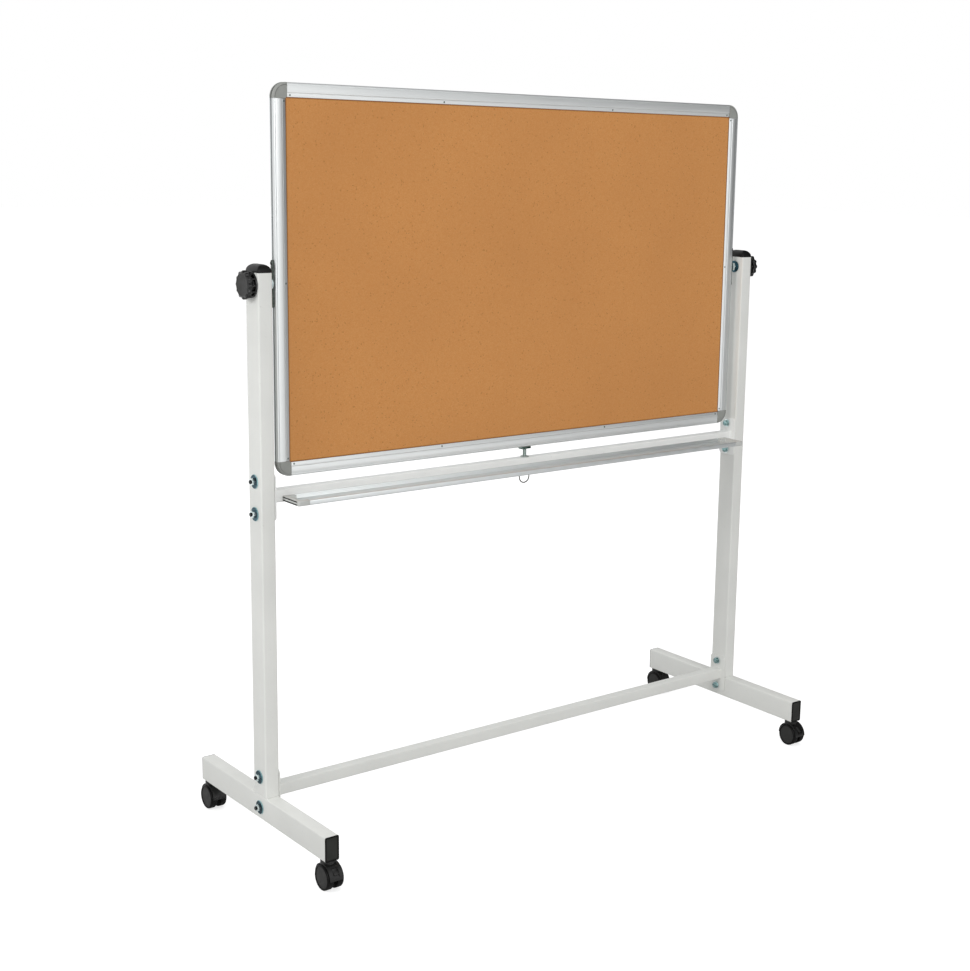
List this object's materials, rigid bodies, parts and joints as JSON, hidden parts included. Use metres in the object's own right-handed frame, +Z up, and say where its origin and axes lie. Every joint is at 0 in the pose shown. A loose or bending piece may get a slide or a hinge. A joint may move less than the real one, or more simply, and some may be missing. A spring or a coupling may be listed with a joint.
{
  "type": "mobile pinboard",
  "caption": "Framed cork pinboard that turns end over end between two posts on a wheeled stand, with a pen tray, clamp knobs and a spring latch.",
  "frame": {"origin": "on the floor under the middle of the whole object's footprint, casters trailing forward", "axes": "+X to the right of someone facing the cork side, +Y away from the cork side, +Z up"},
  "size_m": [1.3462, 0.533, 1.4986],
  "materials": {
    "powder_coat": "off-white powder coat, smooth satin",
    "frame_aluminium": "satin anodised extrusion",
    "corner_grey": "moulded grey plastic, fine grain",
    "tray_aluminium": "satin anodised extrusion",
    "tray_grey": "moulded grey plastic",
    "black_plastic": "moulded black plastic, soft sheen",
    "wheel_black": "moulded black nylon, soft sheen on the tread",
    "zinc": "blue zinc plate",
    "spring_steel": "drawn steel wire",
    "cork": "fine pressed cork, matt",
    "core_board": "raw fibreboard",
    "whiteboard": "gloss white dry-erase enamel"
  },
  "bodies": {
    "stand": {"left_post": "powder_coat", "right_post": "powder_coat", "left_post_cap": "black_plastic", "right_post_cap": "black_plastic", "left_foot": "powder_coat", "right_foot": "powder_coat", "left_foot_front_cap": "black_plastic", "left_foot_rear_cap": "black_plastic", "right_foot_front_cap": "black_plastic", "right_foot_rear_cap": "black_plastic", "upper_crossbar": "powder_coat", "lower_crossbar": "powder_coat", "left_upper_bar_top_bolt": "zinc", "left_upper_bar_bottom_bolt": "zinc", "left_lower_bar_top_bolt": "zinc", "left_lower_bar_bottom_bolt": "zinc", "right_upper_bar_top_bolt": "zinc", "right_upper_bar_bottom_bolt": "zinc", "right_lower_bar_top_bolt": "zinc", "right_lower_bar_bottom_bolt": "zinc", "pen_tray": "tray_aluminium", "tray_left_cap": "tray_grey", "tray_right_cap": "tray_grey", "latch_housing": "zinc", "latch_spring": "spring_steel"},
    "board": {"cork_sheet": "cork", "core_board": "core_board", "whiteboard_sheet": "whiteboard", "top_rail": "frame_aluminium", "bottom_rail": "frame_aluminium", "left_rail": "frame_aluminium", "right_rail": "frame_aluminium", "top_left_corner": "corner_grey", "top_right_corner": "corner_grey", "bottom_left_corner": "corner_grey", "bottom_right_corner": "corner_grey", "strike_plate": "zinc", "left_pivot_plate": "zinc", "right_pivot_plate": "zinc", "left_pivot_nut": "zinc", "right_pivot_nut": "zinc"},
    "left_knob": {"left_knob": "black_plastic"},
    "right_knob": {"right_knob": "black_plastic"},
    "latch_pin": {"latch_pin": "zinc"},
    "pull_ring": {"pull_ring": "spring_steel"},
    "front_left_caster": {"front_left_hood": "black_plastic"},
    "front_left_left_wheel": {"front_left_left_wheel": "wheel_black"},
    "front_left_right_wheel": {"front_left_right_wheel": "wheel_black"},
    "front_left_brake_lever": {"front_left_brake_lever": "black_plastic"},
    "rear_left_caster": {"rear_left_hood": "black_plastic"},
    "rear_left_left_wheel": {"rear_left_left_wheel": "wheel_black"},
    "rear_left_right_wheel": {"rear_left_right_wheel": "wheel_black"},
    "front_right_caster": {"front_right_hood": "black_plastic"},
    "front_right_left_wheel": {"front_right_left_wheel": "wheel_black"},
    "front_right_right_wheel": {"front_right_right_wheel": "wheel_black"},
    "front_right_brake_lever": {"front_right_brake_lever": "black_plastic"},
    "rear_right_caster": {"rear_right_hood": "black_plastic"},
    "rear_right_left_wheel": {"rear_right_left_wheel": "wheel_black"},
    "rear_right_right_wheel": {"rear_right_right_wheel": "wheel_black"}
  },
  "joints": [
    {"name": "board_turn", "type": "hinge", "parent": "stand", "child": "board", "pos_m": [0, 0.004, 1.1251], "axis": [1, 0, 0], "continuous": true},
    {"name": "left_knob_turn", "type": "hinge", "parent": "board", "child": "left_knob", "pos_m": [-0.652, 0.004, 1.1251], "axis": [-1, 0, 0], "continuous": true},
    {"name": "right_knob_turn", "type": "hinge", "parent": "board", "child": "right_knob", "pos_m": [0.652, 0.004, 1.1251], "axis": [1, 0, 0], "continuous": true},
    {"name": "latch_slide", "type": "slide", "parent": "stand", "child": "latch_pin", "axis": [0, 0, -1], "range_m": [0, 0.012], "stiffness_N_per_m": 300, "springref_m": -0.01, "deforming": ["latch_spring"]},
    {"name": "ring_swing", "type": "hinge", "parent": "latch_pin", "child": "pull_ring", "pos_m": [0, 0.004, 0.6978], "axis": [1, 0, 0], "range_deg": [-80, 80]},
    {"name": "front_left_swivel", "type": "hinge", "parent": "stand", "child": "front_left_caster", "pos_m": [-0.637, -0.234, 0.058], "axis": [0, 0, 1], "continuous": true},
    {"name": "front_left_left_wheel_roll", "type": "hinge", "parent": "front_left_caster", "child": "front_left_left_wheel", "pos_m": [-0.637, -0.238, 0.025], "axis": [1, 0, 0], "continuous": true},
    {"name": "front_left_right_wheel_roll", "type": "hinge", "parent": "front_left_caster", "child": "front_left_right_wheel", "pos_m": [-0.637, -0.238, 0.025], "axis": [1, 0, 0], "continuous": true},
    {"name": "front_left_brake_press", "type": "hinge", "parent": "front_left_caster", "child": "front_left_brake_lever", "pos_m": [-0.637, -0.25623, 0.04525], "axis": [1, 0, 0], "range_deg": [0, 10]},
    {"name": "rear_left_swivel", "type": "hinge", "parent": "stand", "child": "rear_left_caster", "pos_m": [-0.637, 0.242, 0.058], "axis": [0, 0, 1], "continuous": true},
    {"name": "rear_left_left_wheel_roll", "type": "hinge", "parent": "rear_left_caster", "child": "rear_left_left_wheel", "pos_m": [-0.637, 0.238, 0.025], "axis": [1, 0, 0], "continuous": true},
    {"name": "rear_left_right_wheel_roll", "type": "hinge", "parent": "rear_left_caster", "child": "rear_left_right_wheel", "pos_m": [-0.637, 0.238, 0.025], "axis": [1, 0, 0], "continuous": true},
    {"name": "front_right_swivel", "type": "hinge", "parent": "stand", "child": "front_right_caster", "pos_m": [0.637, -0.234, 0.058], "axis": [0, 0, 1], "continuous": true},
    {"name": "front_right_left_wheel_roll", "type": "hinge", "parent": "front_right_caster", "child": "front_right_left_wheel", "pos_m": [0.637, -0.238, 0.025], "axis": [1, 0, 0], "continuous": true},
    {"name": "front_right_right_wheel_roll", "type": "hinge", "parent": "front_right_caster", "child": "front_right_right_wheel", "pos_m": [0.637, -0.238, 0.025], "axis": [1, 0, 0], "continuous": true},
    {"name": "front_right_brake_press", "type": "hinge", "parent": "front_right_caster", "child": "front_right_brake_lever", "pos_m": [0.637, -0.25623, 0.04525], "axis": [1, 0, 0], "range_deg": [0, 10]},
    {"name": "rear_right_swivel", "type": "hinge", "parent": "stand", "child": "rear_right_caster", "pos_m": [0.637, 0.242, 0.058], "axis": [0, 0, 1], "continuous": true},
    {"name": "rear_right_left_wheel_roll", "type": "hinge", "parent": "rear_right_caster", "child": "rear_right_left_wheel", "pos_m": [0.637, 0.238, 0.025], "axis": [1, 0, 0], "continuous": true},
    {"name": "rear_right_right_wheel_roll", "type": "hinge", "parent": "rear_right_caster", "child": "rear_right_right_wheel", "pos_m": [0.637, 0.238, 0.025], "axis": [1, 0, 0], "continuous": true}
  ]
}
